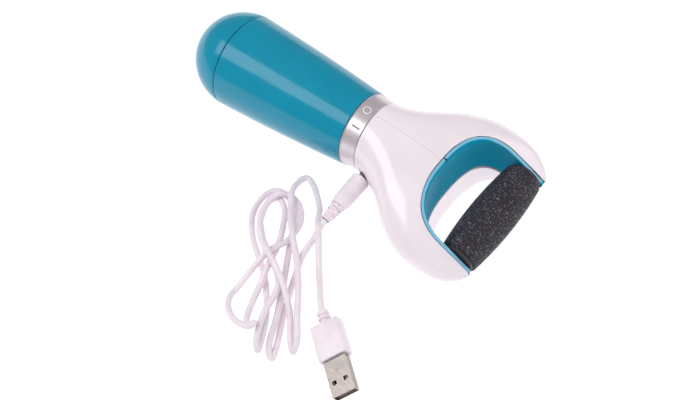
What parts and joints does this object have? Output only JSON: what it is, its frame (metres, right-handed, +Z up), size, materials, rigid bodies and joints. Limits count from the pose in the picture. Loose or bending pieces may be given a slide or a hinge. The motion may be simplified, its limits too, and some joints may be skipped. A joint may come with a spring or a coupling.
{
  "type": "electric callus remover",
  "caption": "Cordless foot file: a tapered handle with a twist switch ring, a forked head round a powered grit roller, and a USB charging lead.",
  "frame": {"origin": "on the table under the middle of the body, from the end cap to the arm tips, lead left out", "axes": "+X from the end cap to the roller, +Y along the roller towards the gear side, +Z up"},
  "size_m": [0.1959, 0.1664, 0.0514],
  "materials": {
    "teal_gloss_plastic": "glossy teal",
    "white_gloss_plastic": "glossy warm white",
    "silver_satin": "satin silver paint on plastic",
    "abrasive_grit": "charcoal mineral grit",
    "steel": "bare steel",
    "brass": "bare brass",
    "copper": "copper alloy strip",
    "gold": "gold plated contact",
    "natural_nylon": "natural nylon",
    "dark_nylon": "dark nylon",
    "black_plastic": "black moulded plastic",
    "black_rubber": "black rubber",
    "board_green": "green circuit board",
    "cell_wrap": "blue shrink wrap over the cell can",
    "led_red": "clear red lamp",
    "lead_white": "soft white moulding"
  },
  "bodies": {
    "body": {"handle_sleeve": "teal_gloss_plastic", "end_cap": "teal_gloss_plastic", "end_cap_seal": "black_rubber", "chassis_core": "natural_nylon", "chassis_collar": "natural_nylon", "contact_disc": "board_green", "battery_cell": "cell_wrap", "battery_tab_rear": "steel", "battery_tab_front": "steel", "battery_cradle": "natural_nylon", "control_board": "board_green", "charge_chip": "black_plastic", "charge_led": "led_red", "dc_jack": "black_plastic", "head_shell_left": "white_gloss_plastic", "head_shell_right": "white_gloss_plastic", "roller_guard": "teal_gloss_plastic", "motor_can": "steel", "motor_end_bell": "black_plastic", "layshaft_bush": "brass", "idler_pin_rear": "steel", "idler_pin_front": "steel", "drive_bush": "natural_nylon", "idle_bush": "natural_nylon"},
    "ring": {"switch_ring": "silver_satin", "switch_wiper": "copper"},
    "roller": {"roller_sleeve": "abrasive_grit", "roller_core": "dark_nylon", "roller_cap_drive": "dark_nylon", "roller_cap_idle": "dark_nylon", "drive_spindle": "steel", "drive_stub": "steel", "roller_drive_gear": "brass"},
    "idler_front": {"idler_gear_front": "natural_nylon"},
    "idler_rear": {"idler_gear_rear": "natural_nylon"},
    "layshaft_set": {"layshaft": "steel", "layshaft_gear": "natural_nylon", "layshaft_pinion": "natural_nylon"},
    "motor_rotor": {"motor_shaft": "steel", "motor_pinion": "brass"},
    "idle_pin_set": {"idle_pin": "steel", "idle_spring": "steel"},
    "lead": {"dc_plug_barrel": "steel", "dc_plug_overmold": "lead_white", "charging_cable": "lead_white", "usb_overmold": "lead_white", "usb_relief": "lead_white", "usb_shell": "steel", "usb_tongue": "lead_white", "usb_contact_1": "gold", "usb_contact_2": "gold", "usb_contact_3": "gold", "usb_contact_4": "gold"}
  },
  "joints": [
    {"name": "ring_twist", "type": "hinge", "parent": "body", "child": "ring", "pos_m": [0.01405, 0, 0.0257], "axis": [-1, 0, 0], "range_deg": [0, 30]},
    {"name": "roller_spin", "type": "hinge", "parent": "body", "child": "roller", "pos_m": [0.08725, 0, 0.0125], "axis": [0, 1, 0], "continuous": true},
    {"name": "idler_front_spin", "type": "hinge", "parent": "body", "child": "idler_front", "pos_m": [0.0779, 0.03335, 0.01377], "axis": [0, 1, 0], "continuous": true},
    {"name": "idler_rear_spin", "type": "hinge", "parent": "body", "child": "idler_rear", "pos_m": [0.0665, 0.03335, 0.01533], "axis": [0, 1, 0], "continuous": true},
    {"name": "layshaft_spin", "type": "hinge", "parent": "body", "child": "layshaft_set", "pos_m": [0.05645, 0.027, 0.0167], "axis": [0, 1, 0], "continuous": true},
    {"name": "motor_spin", "type": "hinge", "parent": "body", "child": "motor_rotor", "pos_m": [0.04715, 0.018, 0.0167], "axis": [0, 1, 0], "continuous": true},
    {"name": "idle_pin_press", "type": "slide", "parent": "body", "child": "idle_pin_set", "axis": [0, -1, 0], "range_m": [0, 0.003], "stiffness_N_per_m": 300, "springref_m": -0.002, "deforming": ["idle_spring"]},
    {"name": "plug_pull", "type": "slide", "parent": "body", "child": "lead", "axis": [0, -1, 0], "range_m": [0, 0.014]}
  ],
  "couplings": [
    {"joint": "idler_front_spin", "follows": "roller_spin", "ratio": -0.63158},
    {"joint": "idler_rear_spin", "follows": "roller_spin", "ratio": 0.63158},
    {"joint": "layshaft_spin", "follows": "roller_spin", "ratio": -0.85714},
    {"joint": "motor_spin", "follows": "roller_spin", "ratio": 1.3571}
  ]
}
